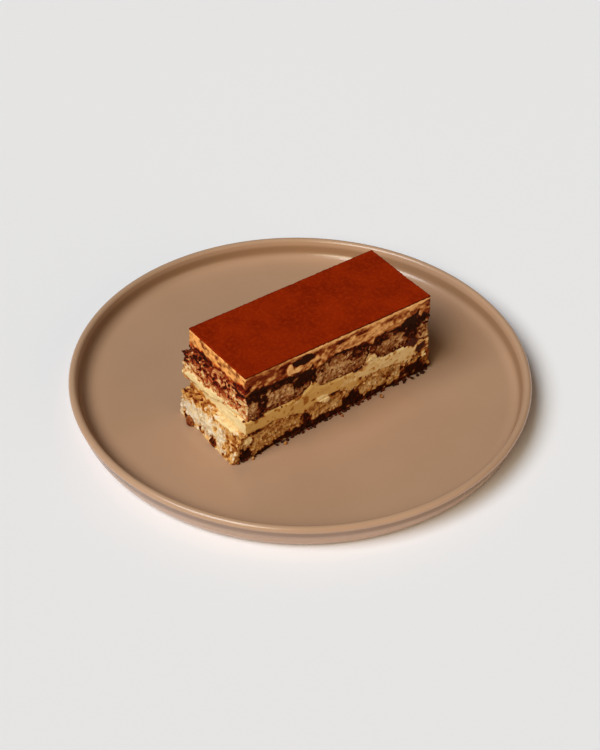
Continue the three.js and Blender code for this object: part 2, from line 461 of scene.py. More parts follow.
def glaze():
    material, tree, shader = new_material("satin_glaze", 0.25)
    place = object_place(tree)
    clouds = ease(texture_noise(place, 50 * MM, 3), 0.3, 0.7)
    specks = 1 - ease(cells(place, SPECK_SPACING, "Distance"), 0.05, 0.16)
    specks = specks * ease(texture_noise(place, 6 * MM), 0.62, 0.7)
    height = part_of(place, "Z")
    # the lip's paler band: thinner glaze and a painted highlight
    thin_glaze_and_highlight = ease(height, PLATE_HEIGHT - 0.9 * MM, PLATE_HEIGHT)
    # painted shade: the inner wall between the cove and the lip is darkened
    painted_wall_shade = ease(height, PLATE_FLOOR + 1 * MM, PLATE_FLOOR + 4 * MM)
    painted_wall_shade = painted_wall_shade * (1 - ease(height, PLATE_HEIGHT - 4 * MM, PLATE_HEIGHT - 2 * MM))
    colour = blend(clouds, TAUPE, PALE_TAUPE)
    colour = blend(0.3 * specks, colour, IRON_SPECK)
    colour = blend(0.85 * painted_wall_shade, colour, WALL_SHADE_GLAZE)
    feed(shader, "Base Color", blend(0.12 * thin_glaze_and_highlight, colour, PALE_LIP_GLAZE_AND_HIGHLIGHT))
    skin = texture_noise(place, 1.8 * MM, 1)
    feed(shader, "Roughness", 0.19 + 0.06 * skin)
    feed_bump(shader, skin, 0.06, 0.2 * MM)
    return material


finish_piece(spun_plate(glaze()), "glaze", "plate")

# %% [markdown]
# ## A map of the cut
# Sponge, coffee and cream meet in ragged lines on the cut, and those lines don't stop at the joint
# between two solids: cream is dragged over crumb and coffee seeps into cream. So every piece of the slice
# reads the same map. For a point of the slice it tells sponge from cream, and how far the coffee has soaked
# there. The map is worked out in millimetres along, across and up the slice. It undoes the slice's lean
# first, so that each finger is upright in it.

# %% Measure the slice
cocoa_low, cocoa_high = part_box("cocoa_dusting")
SLICE_CENTRE = (cocoa_low + cocoa_high) / 2
SLICE_LENGTH = 106
SLICE_WIDTH = 45
SLICE_HEIGHT = (cocoa_high.z - PLATE_FLOOR) / MM
# How far the right end leans out at its foot, and how near to an end a finger counts as cut.
END_LEAN = 5
CUT_MARGIN = 2


def slice_place(points):
    """Points of the frame in millimetres along, across and up the slice, from the middle of its foot."""
    return (points - np.array((SLICE_CENTRE.x, SLICE_CENTRE.y, PLATE_FLOOR))) / MM


def before_lean(place):
    """How far along the slice its points lay before its right end leaned out."""
    low = 1 - place[:, 2] / SLICE_HEIGHT
    return (place[:, 0] - 0.5 * END_LEAN * low) / (1 + END_LEAN * low / SLICE_LENGTH)


def mesh_points(mesh):
    flat = np.empty(3 * len(mesh.vertices), np.float32)
    mesh.vertices.foreach_get("co", flat)
    return flat.reshape(-1, 3).astype(float)


print(f"slice: {SLICE_LENGTH} x {SLICE_WIDTH} x {SLICE_HEIGHT:.1f} mm")

# %% Find the fingers
# How far a finger's section drops at the edges of its crown, and rises at the edges of its base.
CROWN_DROP = 4.2
EDGE_LIFT = {"lower": 1, "upper": 4}
# How far the coffee soaked in from the left, right, top and bottom of each finger, in millimetres.
SOAKED = {
    "lower_finger_1": (1, 1, 0.1, 0.1),
    "lower_finger_2": (1, 1.5, 0.1, 2.2),
    "lower_finger_3": (1, 1, 0.1, 2.4),
    "lower_finger_4": (1.5, 1, 0.1, 2.6),
    "upper_finger_1": (1, 2, 2, 0.4),
    "upper_finger_2": (0.5, 2, 1.2, 0.5),
    "upper_finger_3": (0.5, 1, 2, 0.7),
    "upper_finger_4": (2, 1, 2.5, 0.1),
}
# How damp the middle of each finger is, in the same order.
DAMP = (0.1, 0.1, 0.04, 0.1, 0.17, 0.16, 0.21, 0.2)


def read_finger(name, damp):
    """A finger's sides in the map, from its solid, with no side where the knife cut along it."""
    place = slice_place(mesh_points(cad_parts[name].data))
    along = before_lean(place)
    left, right = along.min(), along.max()
    base, crown = place[:, 2].min(), place[:, 2].max()
    return SimpleNamespace(
        left=left,
        right=right,
        base=base,
        crown=crown,
        lift=EDGE_LIFT[name.split("_")[0]],
        damp=damp,
        cut_left=left < -SLICE_LENGTH / 2 + CUT_MARGIN,
        cut_right=right > SLICE_LENGTH / 2 - CUT_MARGIN,
        soaked=SOAKED[name],
    )


FINGERS = [read_finger(name, damp) for name, damp in zip(SOAKED, DAMP)]
print("fingers:", ", ".join(f"{f.left:.0f} to {f.right:.0f}" for f in FINGERS))


# %% Add noise to arrays
def lattice(corners, seed):
    """A repeatable random number from -1 to 1 for each corner of a grid."""
    n = np.sin(corners @ np.array((127.1, 311.7, 74.7)) + seed) * 43758.5453
    return 2 * (n - np.floor(n)) - 1


def noise(points, size, seed):
    """Smooth noise from -1 to 1 with lumps of about that size, for arrays of points."""
    places = points / size
    cell = np.floor(places)
    share = places - cell
    share = share * share * (3 - 2 * share)
    total = np.zeros(len(points))
    for corner in np.ndindex(2, 2, 2):
        weight = np.prod(np.where(corner, share, 1 - share), axis=1)
        total += weight * lattice(cell + corner, seed)
    return total


def step(value, low, high):
    """The array form of ease."""
    share = np.clip((value - low) / (high - low), 0, 1)
    return share * share * (3 - 2 * share)


# %% [markdown]
# Coffee also gathered in places: between fingers, at the foot and in hollows of the top cream. The dark at
# the foot is also painted shade where the slice meets the plate, and one narrow line is painted shade along
# a crease in the cream. Each pool is listed by where it shows on the long side or on the left end, and
# reaches a little way into the slice.
# The fingers run across the slice, so the two hidden sides take the mirrored list. Smears of clean cream
# over the crumb, dragged there by the knife, are listed in the same way, and so are two seams, where the
# middle cream rises between two upper fingers and leaves no sponge.

# %% List the pools
SPOT_DEPTH = 7
FOOT_OUT = 2


def on_side(along, up, half_length, half_height, strength=1.0):
    """A spot on the long sides: its middle, its half sizes, its strength and its mirrored axis."""
    return (along, -SLICE_WIDTH / 2, up), (half_length, SPOT_DEPTH, half_height), strength, 1


def on_end(across, up, half_width, half_height, strength=1.0):
    """A spot on the ends, whose foot stands out a little."""
    return (-SLICE_LENGTH / 2 - FOOT_OUT, across, up), (SPOT_DEPTH, half_width, half_height), strength, 0


COFFEE_AND_SHADE_POOLS = [
    # The top cream.
    on_side(-20.5, 43.5, 6, 2.2, 1.2),
    on_side(-32, 44.8, 5, 1.2, 0.55),
    on_side(-46, 43.8, 5, 1.4, 0.35),
    on_side(-32, 41.5, 1.8, 1.5, 0.6),
    on_side(-10, 44.5, 5, 0.9, 0.42),
    on_side(0, 44.3, 4, 1.1, 0.6),
    on_side(12, 44, 4, 0.8, 0.6),
    on_side(28.5, 43.8, 2.5, 0.9, 0.5),
    on_side(-12, 39, 2, 1, 0.6),
    on_side(44, 42, 4, 1.5, 0.5),
    on_side(53, 44, 2, 3, 0.6),
    # The upper row.
    on_side(-46.5, 34.5, 6.5, 4.2, 1.2),
    on_side(-43, 26.5, 3, 4.8, 0.9),
    on_side(-32, 35, 8.5, 2.8),
    on_side(-18, 31.5, 7, 5.5, 1.15),
    on_side(-7, 35.2, 4, 1.8, 0.85),
    on_side(1, 37.3, 6, 1.3, 0.95),
    on_side(12.5, 33, 7.5, 4.5, 0.78),
    on_side(14, 24.5, 5, 4, 0.55),
    on_side(25, 33.8, 6.5, 4, 0.95),
    on_side(33.5, 35, 4, 3, 0.6),
    on_side(44.5, 34.5, 8.5, 6, 1.1),
    on_side(45.5, 23.5, 3, 4.5, 0.85),
    on_side(51, 24, 4.5, 6, 0.26),
    on_side(-24, 23, 5, 1.8, 0.5),
    # The middle cream.
    on_side(-47, 19.8, 1, 0.8, 0.45),
    on_side(-18.5, 18.5, 1.5, 3, 0.42),
    on_side(-14, 16.8, 1.5, 0.8, 0.5),
    on_side(14.3, 15.6, 0.9, 1, 0.75),
    on_side(17.2, 15, 0.9, 1, 0.6),
    on_side(15.5, 12.5, 3, 4, 0.36),
    # painted shade: a narrow dark line along a crease in the cream
    on_side(-2, 14.4, 4, 0.5, 0.85),
    on_side(51.5, 16.8, 5.5, 2.8, 0.9),
    # The lower row.
    on_side(-47.5, 13.6, 4, 1.2, 0.8),
    on_side(-36, 7, 12, 6, 0.35),
    on_side(-18.3, 6.5, 3, 6, 0.85),
    on_side(9.5, 5.5, 5, 4.8, 1.1),
    on_side(31.5, 8, 5, 3, 0.48),
    on_side(46.5, 6, 6.8, 6, 1.2),
    # The foot: coffee, and painted shade where the slice meets the plate.
    on_side(-53.5, 3.5, 3.5, 4.5, 1.1),
    on_side(-49.5, 9, 1.5, 3, 0.6),
    on_side(-42, 1, 8, 1.8, 0.9),
    on_side(-24, 2, 13, 2.8),
    on_side(-3, 2.2, 14, 3, 1.05),
    on_side(24, 2.2, 12, 2.8),
    on_side(51, 2, 6, 2.6),
    # The left end.
    on_end(11, 38.6, 8, 2.4, 0.9),
    on_end(-19, 40, 5, 2.4, 0.66),
    on_end(13, 35.5, 6, 3, 0.75),
    on_end(0, 36, 24, 5, 0.5),
    on_end(21, 35, 3.5, 4.5, 0.85),
    on_end(0, 32, 8, 2.2, 0.75),
    on_end(-10.5, 36, 4, 2, 0.75),
    on_end(-17, 35.5, 6, 4.5, 0.82),
    on_end(-13, 28.6, 4, 1.6, 0.62),
    on_end(12, 30, 6, 2, 0.55),
    on_end(0, 28, 24, 5, 0.42),
    on_end(13, 15, 9, 2.4, 0.47),
    on_end(12, 14.7, 2, 0.8, 0.52),
    on_end(2.5, 15.5, 2, 1, 0.5),
    on_end(-9.5, 14, 2.4, 1.1, 0.5),
    on_end(-2, 12.5, 1.5, 1, 0.45),
    on_end(-5, 8.5, 1.5, 2, 0.45),
    on_end(-18.5, 7.5, 5.5, 7.5, 0.46),
    on_end(0, 1.5, 22, 1.2, 0.25),
    on_end(18, 1.5, 3, 2.4, 0.8),
    on_end(4.5, 1.5, 2.6, 2.2, 0.85),
    on_end(-5.5, 2.2, 3.2, 3.2, 0.72),
    on_end(-16, 1.3, 2.6, 2, 0.85),
]
print(f"{len(COFFEE_AND_SHADE_POOLS)} coffee pools")

# %% List the smears
CREAM_SMEARS = [
    on_side(-28.3, 41.5, 1.5, 2.6),
    on_side(-24.5, 39.3, 3.2, 1),
    on_side(22, 41.8, 6, 2.4, 0.5),
    on_side(-52, 11, 2, 2.2),
    on_side(-9, 15, 2.8, 1.4),
    on_side(-6.5, 13.2, 3, 1.2),
    on_side(53, 12, 1.2, 3),
    on_end(15, 25, 9, 2.2),
    on_end(2, 23.6, 10, 2),
    on_end(-11, 22.6, 7, 1.6),
    on_end(-10, 15.8, 9, 2.4, 0.8),
    on_end(8, 8.5, 13, 4.2, 0.4),
    on_end(-5, 8, 4, 3.5, 0.5),
]
CREAM_SEAMS = [on_side(-14, 23.4, 3.2, 3), on_side(20, 23.6, 3.4, 3)]
print(f"{len(CREAM_SMEARS)} smears and {len(CREAM_SEAMS)} seams of cream")

# %% [markdown]
# The map itself comes in three steps. The first finds the nearest finger and how deep a point lies in it.
# The second stains the creams, which the knife streaked along the long sides. The third puts both together
# with the pools, smears and seams. The faces differ: the knife pressed the long sides smooth and damp,
# while the crumb of the two ends broke open and stayed drier. So the last two steps are also told how far
# a point is on a side.

# %% Find the depth in a finger
SPOT_EDGE = (0.7, 1.3)
FAR = 99.0
BEYOND_RIND = 9.0


def near_spots(place, spots, rough):
    """How strongly each point lies in one of the spots, from 0 to 1."""
    found = np.zeros(len(place))
    for middle, half, strength, axis in spots:
        mirrored = place.copy()
        mirrored[:, axis] = -np.abs(place[:, axis])
        reach = np.sqrt((((mirrored - middle) / half) ** 2).sum(1)) + rough
        found = np.maximum(found, strength * (1 - step(reach, *SPOT_EDGE)))
    return found


def finger_depth(along, up):
    """How deep points lie in the nearest finger: in millimetres, in rinds, and how damp that finger is."""
    depth = np.full(len(along), -FAR)
    rind = np.full(len(along), BEYOND_RIND)
    damp = np.zeros(len(along))
    for finger in FINGERS:
        across = np.clip(2 * (along - finger.left) / (finger.right - finger.left) - 1, -1, 1)
        edge = np.abs(across)
        edge[(across < 0) & finger.cut_left] = 0
        edge[(across > 0) & finger.cut_right] = 0
        to_left = along - finger.left + FAR * finger.cut_left
        to_right = finger.right - along + FAR * finger.cut_right
        to_crown = finger.crown - CROWN_DROP * edge**3 - up
        to_base = up - finger.base - finger.lift * edge**4
        gaps = np.stack((to_left, to_right, to_crown, to_base))
        nearer = gaps.min(0) > depth
        depth[nearer] = gaps.min(0)[nearer]
        rind[nearer] = (gaps / np.array(finger.soaked)[:, None]).min(0)[nearer]
        damp[nearer] = finger.damp
    return depth, rind, damp


depths = [finger_depth(np.zeros(1), np.full(1, level))[0][0] for level in (5.0, 18.0, 28.0)]
print("depths up the middle:", ", ".join(f"{depth:.1f} mm" for depth in depths))

# %% Stain the creams
# Heights in millimetres of the brown band, of the clean line above it and of the seeped foot of the cream.
BAND_LEVEL = 44.6
BAND_HALF_HEIGHT = 1.5
CLEAN_LEVEL = (45.9, 46.8)
SEEPED_LEVEL = (40, 44)
MEAN_STAIN = 0.42


def top_stain(place, side):
    """How far coffee was dragged through the top cream: mottled, with a brown band on the long sides."""
    mottle = 0.35 * noise(place / (3.5, 3.5, 1.8), 1, 4.2) + 0.45 * noise(place / (1.6, 1.6, 1.2), 1, 9.4)
    band = np.exp(-(((place[:, 2] - BAND_LEVEL) / BAND_HALF_HEIGHT) ** 2))
    left = 1 - 0.75 * step(place[:, 0], -34, -12) - 0.25 * step(place[:, 0], 5, 25)
    clean = step(place[:, 2] + 0.5 * noise(place, 2.5, 1.3), *CLEAN_LEVEL)
    clean = clean * (0.3 + 0.7 * step(place[:, 0], -29, -22))
    low = 1 - step(place[:, 2] + noise(place, 2, 3.7), *SEEPED_LEVEL)
    dragged = (0.1 + 0.25 * band + 0.3 * left) * side
    seeped = 0.35 * low * (1 - side)
    drawn = MEAN_STAIN + (1.4 - 0.4 * side) * mottle + dragged + seeped
    return np.clip(drawn, 0, 1) * (1 - 0.8 * clean * side)


def middle_stain(place, side):
    """The knife darkened the middle cream on the long sides, and it is darker towards the left."""
    darker_on_sides_and_left = side * (0.75 - 0.62 * step(place[:, 0], -5, 28))
    streaks = 0.35 * noise(place / (4, 4, 1.5), 1, 2.6) + 0.3 * side * noise(place, 1.2, 5.9)
    return np.clip(darker_on_sides_and_left + streaks, 0, 1)


band_middle = np.array([[0, -SLICE_WIDTH / 2, BAND_LEVEL]])
print(f"stain in the brown band: {top_stain(band_middle, np.ones(1))[0]:.2f}")

# %% Set the map's levels
# How ragged the borders are, in broad and in fine lumps, in millimetres.
RAGGED_BROAD = 1.1
RAGGED_FINE = 0.7
# Heights in millimetres: the break between the rows, crown and foot of the ends, and the top cream.
ROW_BREAK = (20, 23)
END_CROWN_BAND = (30, 36)
END_FOOT_BAND = (5, 9)
TOP_CREAM_LEVEL = (33, 35)
# How much the crown of the ends is raised, and what ledges and seams add to or take from the depth.
END_CROWN = 2.5
LEDGE_DEPTH = 2
SEAM_DEPTH = 7
# How wet pools, pressed sides, the edges of fingers and dragged crumbs are, and how far an edge fades.
POOL_SOAK = 0.95
SIDE_DAMP = 0.17
EDGE_SOAK = 0.36
DRAGGED_SOAK = 0.4
EDGE_FADE = 2.6
NO_RIND = 4
SPONGE_EDGE = (-0.8, 1.2)
print(f"the rows part between {ROW_BREAK[0]} and {ROW_BREAK[1]} mm")


# %% Draw the map
def ragged(place, broad_seed, fine_seed):
    """How far a border wanders at each point, in broad and in fine lumps."""
    return RAGGED_BROAD * noise(place, 5, broad_seed) + RAGGED_FINE * noise(place, 1.7, fine_seed)


def cut_map(points, side, ledge):
    """How far points are sponge, soaked, smeared over, stained and so on, from 0 to 1.

    side is 1 on the long sides, which the knife pressed smooth, and 0 on the ends, where the crumb broke.
    ledge is 1 where the top of a finger shows.
    """
    place = slice_place(points)
    along = before_lean(place) + ragged(place, 3.1, 4.1)
    up = place[:, 2] + ragged(place, 8.7, 9.7)
    raised = END_CROWN * (1 - side) * step(up, *END_CROWN_BAND)
    depth, rind, damp = finger_depth(along, up - raised)
    rind = np.where(depth > 0, rind, NO_RIND) + NO_RIND * (1 - side)
    rough = 0.4 * noise(place, 2.2, 5.5) + 0.3 * noise(place, 1.1, 6.5)
    depth = depth + LEDGE_DEPTH * ledge - SEAM_DEPTH * near_spots(place, CREAM_SEAMS, rough)
    smear = near_spots(place, CREAM_SMEARS, rough)
    high = step(up, *TOP_CREAM_LEVEL)
    upper = step(place[:, 2], *ROW_BREAK)
    dragged = DRAGGED_SOAK * side * (1 - high) * step(noise(place, 1.3, 7.3), 0.42, 0.7)
    seeped = np.maximum(0.45 * high * step(depth, -2.5, 0), dragged)
    end_foot = (1 - side) * (1 - step(place[:, 2], *END_FOOT_BAND))
    edge = EDGE_SOAK * (1 - 0.35 * side * (1 - upper) - 0.7 * end_foot)
    damp = damp + SIDE_DAMP * side + edge * np.exp(-np.maximum(depth, 0) / EDGE_FADE)
    soaked = np.maximum(damp, POOL_SOAK * (1 - step(rind + 1.2 * rough, 0.4, 1.8)))
    # the pools also hold painted shade, at the foot and along one crease
    pools_and_shade = POOL_SOAK * near_spots(place, COFFEE_AND_SHADE_POOLS, rough)
    soak = np.maximum(np.where(depth > 0, soaked, seeped), pools_and_shade)
    torn = side * (0.14 + 0.55 * soak) + (1 - side) * (0.05 + soak)
    stain = high * top_stain(place, side) + (1 - high) * middle_stain(place, side)
    return {
        "sponge": step(depth, *SPONGE_EDGE) * (1 - smear),
        "soak": soak * (1 - smear),
        "smear": smear,
        "stain": stain * (1 - smear),
        "high": high,
        "upper": upper,
        "pressed": side,
        "torn": torn,
    }


middle = cut_map(np.array([SLICE_CENTRE]), np.zeros(1), np.zeros(1))
print("map at the slice's top:", {name: round(float(values[0]), 2) for name, values in middle.items()})

# %% [markdown]
# ## Crumb, pores and smears
# The solids' faces are broad facets. A copy of each solid is remeshed finely, and a geometry tree then
# works its cut faces. Sponge is a foam torn by the knife: small open pores, larger craters and ragged
# crags. The tree sinks the cells of two Voronoi textures for the first two and adds noise for the crags.
# It keeps each pore's random colour, which tells the material how pale and how thirsty the crumb is there.
# Cream gets the low ripples of the knife. Real relief is used rather than bump alone, because the crumb's
# ragged edge shows against the plate.

# %% Tell the faces apart
# How squarely a face has to look along an axis to count as level, as a side or as cut.
SQUARELY = (0.4, 0.8)
CUT_SQUARELY = (0.3, 0.8)
# In millimetres: how near to an end a cut face lies, how far out a ledge, and how near the side its rim.
END_BAND = 3
LEDGE_OUT = (-0.4, 0.4)
SIDE_RIM = (-4, -2)


def faces_of(mesh):
    """How squarely each point of a mesh faces along each axis, from 0 to 1."""
    flat = np.empty(3 * len(mesh.vertices), np.float32)
    mesh.vertex_normals.foreach_get("vector", flat)
    return np.abs(flat.reshape(-1, 3))


def cut_share(facing, points):
    """1 on the slice's four cut faces and on ledges that stand out at its ends, 0 inside the slice."""
    out = np.abs(before_lean(slice_place(points))) - SLICE_LENGTH / 2
    cut = step(np.maximum(facing[:, 1], facing[:, 0] * (out > -END_BAND)), *CUT_SQUARELY)
    return np.maximum(cut, step(out, *LEDGE_OUT))


def near_side(points):
    """1 within a few millimetres of the long sides."""
    return step(np.abs(slice_place(points)[:, 1]) - SLICE_WIDTH / 2, *SIDE_RIM)


# %% Remesh the solids
def store(mesh, name, values):
    mesh.attributes.new(name, "FLOAT", "POINT").data.foreach_set("value", values.astype(np.float32))


def fine_copy(node, name, voxel):
    """A copy of a solid with even small faces, and the map stored on its points."""
    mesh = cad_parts[node].data.copy()
    mesh.materials.clear()
    builder = bmesh.new()
    builder.from_mesh(mesh)
    bmesh.ops.remove_doubles(builder, verts=builder.verts, dist=MERGE_DISTANCE)
    builder.to_mesh(mesh)
    builder.free()
    piece = new_object(name, mesh)
    remesh = piece.modifiers.new("remesh", "REMESH")
    remesh.mode = "VOXEL"
    remesh.voxel_size = voxel
    settle_mesh(piece)
    points, facing = mesh_points(piece.data), faces_of(piece.data)
    level = step(facing[:, 2], *SQUARELY)
    side = np.maximum(step(facing[:, 1], *SQUARELY), level * near_side(points))
    for label, values in cut_map(points, side, level * ("finger" in node)).items():
        store(piece.data, label, values)
    store(piece.data, "cut", cut_share(facing, points))
    return piece


# %% Scatter crumbs
# The lumps of a crumb of unit radius, and how far crumbs are stretched.
LUMP_SIZE = 0.9
LUMP_HEIGHT = 1.4
CRUMB_STRETCH = (0.4, 1.2)


def random_vector(tree, low, high, seed):
    inputs = {0: (low,) * 3, 1: (high,) * 3, "Seed": seed}
    return Wire.node(tree, "FunctionNodeRandomValue", {"data_type": "FLOAT_VECTOR"}, inputs)


def crumb_instance(tree, seed):
    """One lumpy crumb of unit radius."""
    ball = Wire.node(tree, "GeometryNodeMeshIcoSphere", inputs={"Radius": 1.0, "Subdivisions": 2})
    place = Wire.node(tree, "GeometryNodeInputPosition")
    pushed = scaled(place, LUMP_HEIGHT * (texture_noise(place, LUMP_SIZE, 1, seed) - 0.5))
    return Wire.node(tree, "GeometryNodeSetPosition", inputs={"Geometry": ball, "Offset": pushed})


def scattered(tree, points, size, seed):
    """Crumbs of about that size, turned and stretched at random, on points."""
    spin = random_vector(tree, 0, math.tau, seed)
    stretch = scaled(random_vector(tree, *CRUMB_STRETCH, seed), size)
    crumb = crumb_instance(tree, seed)
    inputs = {"Points": points, "Instance": crumb, "Rotation": spin, "Scale": stretch}
    return Wire.node(tree, "GeometryNodeInstanceOnPoints", inputs=inputs)


def strewn_points(tree, mesh, density, seed):
    inputs = {"Mesh": mesh, "Density": density, "Seed": seed}
    return Wire.node(tree, "GeometryNodeDistributePointsOnFaces", inputs=inputs)


# %% Work the cut faces
CUT_SIZES = ["Pore Size", "Pore Depth", "Crater Size", "Crater Depth", "Crag Size", "Crag Depth"]
CUT_SIZES += ["Ripple Size", "Ripple Depth", "Smear Height", "Swell", "Crumb Size", "Crumb Density"]
# Where a pore and a crater end, from their middles, where craters gather, and how the knife drew the cream.
PORE_EDGE = (0.1, 0.7)
CRATER_EDGE = (0.1, 0.6)
CRATER_PATCH = (0.35, 0.6)
CRATER_PATCH_SIZE = 5 * MM
KNIFE_DRAW = (0.6, 0.6, 1)


def pushed_out(geometry, height):
    """Geometry moved along its normals."""
    offset = scaled(Wire.node(geometry.tree, "GeometryNodeInputNormal"), height)
    inputs = {"Geometry": geometry, "Offset": offset}
    return Wire.node(geometry.tree, "GeometryNodeSetPosition", inputs=inputs)


def attribute(tree, name):
    return Wire.node(tree, "GeometryNodeInputNamedAttribute", {"data_type": "FLOAT"}, {"Name": name})


def marked(geometry, name, kind, value):
    """Geometry with a value stored on its points."""
    settings = {"data_type": kind, "domain": "POINT"}
    inputs = {"Geometry": geometry, "Name": name, "Value": value}
    return Wire.node(geometry.tree, "GeometryNodeStoreNamedAttribute", settings, inputs)


def cut_face_tree():
    tree, given = new_tree("cut_face", CUT_SIZES)
    place = Wire.node(tree, "GeometryNodeInputPosition")
    sponge, smear, cut = (attribute(tree, n) for n in ("sponge", "smear", "cut"))
    pores = 1 - ease(cells(place, given.pore_size, "Distance"), *PORE_EDGE)
    craters = 1 - ease(cells(place, given.crater_size, "Distance"), *CRATER_EDGE)
    craters = craters * ease(texture_noise(place, CRATER_PATCH_SIZE, 1, given.seed), *CRATER_PATCH)
    crags = 2 * texture_noise(place, given.crag_size, 3, given.seed) - 1
    drawn = stretched(place, KNIFE_DRAW)
    ripples = 2 * texture_noise(drawn, given.ripple_size, 3, given.seed) - 1
    crumbly = given.crag_depth * crags - given.pore_depth * (pores - 0.4) - given.crater_depth * craters
    height = sponge * crumbly + (1 - sponge) * given.ripple_depth * ripples + smear * given.smear_height
    geometry = marked(given.geometry, "crumb", "FLOAT_VECTOR", cells(place, given.pore_size, "Color"))
    geometry = marked(geometry, "pore", "FLOAT", sponge * cut * (0.7 * pores + craters))
    geometry = pushed_out(geometry, cut * height + (1 - cut) * given.swell)
    points = strewn_points(tree, geometry, given.crumb_density * cut * sponge, given.seed)
    crumbs = scattered(tree, points, given.crumb_size, given.seed)
    return close_tree(tree, joined(geometry, crumbs), given.material)


CUT_FACE = cut_face_tree()

# %% Choose the sponge's relief
SPONGE_SIZES = {
    "pore_size": 1.3 * MM,
    "pore_depth": 0.4 * MM,
    "crater_size": 3.2 * MM,
    "crater_depth": 0.9 * MM,
    "crag_size": 3.4 * MM,
    "crag_depth": 0.8 * MM,
    "ripple_size": 1.6 * MM,
    "ripple_depth": 0.25 * MM,
    "smear_height": 0.6 * MM,
    "swell": 0.25 * MM,
    "crumb_size": 0.6 * MM,
    "crumb_density": 0.05 / MM**2,
}
print("sponge:", ", ".join(f"{name} {size / MM:.2f} mm" for name, size in list(SPONGE_SIZES.items())[:6]))

# %% [markdown]
# ## Sponge, coffee and cream as one material
# Dry crumb is pale straw. Coffee acts on it like a filter: a little takes out the blue and leaves amber,
# more takes out the green and leaves red-brown, and a pool is almost black. So each stage multiplies the
# colour below it, and the crumb's own light and dark show through. The tints differ by row and by face. The
# broken ends are russet in the upper row, and honey over nearly white crumb in the lower one. The pressed
# sides are dun above and amber below.

# %% Choose the tints
PALE_CRUMB = (0.88, 0.66, 0.4, 1)
DRY_CRUMB = (0.68, 0.44, 0.2, 1)
WHITE_CRUMB = (0.84, 0.7, 0.54, 1)
CREAMY_CRUMB = (0.73, 0.55, 0.34, 1)
PORE_SHADE = (0.62, 0.5, 0.38, 1)
HONEY_TINT = (0.9, 0.56, 0.2, 1)
AMBER_TINT = (0.79, 0.58, 0.31, 1)
DUN_TINT = (0.76, 0.6, 0.47, 1)
CARAMEL_TINT = (0.56, 0.36, 0.26, 1)
RUSSET_TINT = (0.86, 0.55, 0.32, 1)
RUST_TINT = (0.62, 0.25, 0.21, 1)
COFFEE_TINT = (0.42, 0.15, 0.12, 1)
ESPRESSO = (0.026, 0.0055, 0.0016, 1)
PALE_CREAM = (0.88, 0.65, 0.33, 1)
PALE_CREAM_SHADE = (0.68, 0.39, 0.115, 1)
GOLDEN_CREAM = (0.97, 0.42, 0.115, 1)
STAINED_CREAM = (0.92, 0.49, 0.185, 1)
STAINED_CREAM_SHADE = (0.5, 0.18, 0.045, 1)
STREAK = (0.22, 0.033, 0.006, 1)
# How wet crumb is where each stage of coffee begins and where it is complete.
FIRST_STAGE = (0.08, 0.3)
SECOND_STAGE = (0.26, 0.48)
COFFEE_STAGE = (0.44, 0.66)
ESPRESSO_STAGE = (0.6, 0.92)


def tinted(colour, tint, factor):
    """A colour seen through a filter."""
    settings = {"data_type": "RGBA", "blend_type": "MULTIPLY"}
    return Wire.node(factor.tree, "ShaderNodeMix", settings, {0: factor, 6: colour, 7: tint}, 2)


def with_coffee(colour, wet, first_tint=AMBER_TINT, second_tint=CARAMEL_TINT):
    """A colour under coffee, from a first tint to black."""
    colour = tinted(colour, first_tint, ease(wet, *FIRST_STAGE))
    colour = tinted(colour, second_tint, ease(wet, *SECOND_STAGE))
    colour = tinted(colour, COFFEE_TINT, ease(wet, *COFFEE_STAGE))
    return blend(ease(wet, *ESPRESSO_STAGE), colour, ESPRESSO)


print("stages of coffee begin at", FIRST_STAGE[0], SECOND_STAGE[0], COFFEE_STAGE[0], ESPRESSO_STAGE[0])

# %% [markdown]
# All the cut pieces share one function, because cream lies on sponge and coffee runs into cream. It reads
# the map from the attributes that were stored on the points. No change is a clean line, because each bit
# of crumb drinks as much as it can. So noise and the pores' random colours speckle the border of sponge
# and cream and the reach of the coffee.


# %% Mix the cut faces
def cream_colour(high, pressed, drawn, mottle):
    """Pale cream below, stained cream above, and what the knife drew through either."""
    body = blend(high, PALE_CREAM, blend(pressed, GOLDEN_CREAM, STAINED_CREAM))
    shade = blend(high, PALE_CREAM_SHADE, STAINED_CREAM_SHADE)
    body = blend(0.3 * mottle, body, shade)
    body = blend(ease(drawn, 0.2, 0.65), body, shade)
    return blend(high * ease(drawn, 0.6, 0.95), body, STREAK)


def mark(tree, name, output="Fac"):
    return Wire.node(tree, "ShaderNodeAttribute", {"attribute_name": name}, output=output)


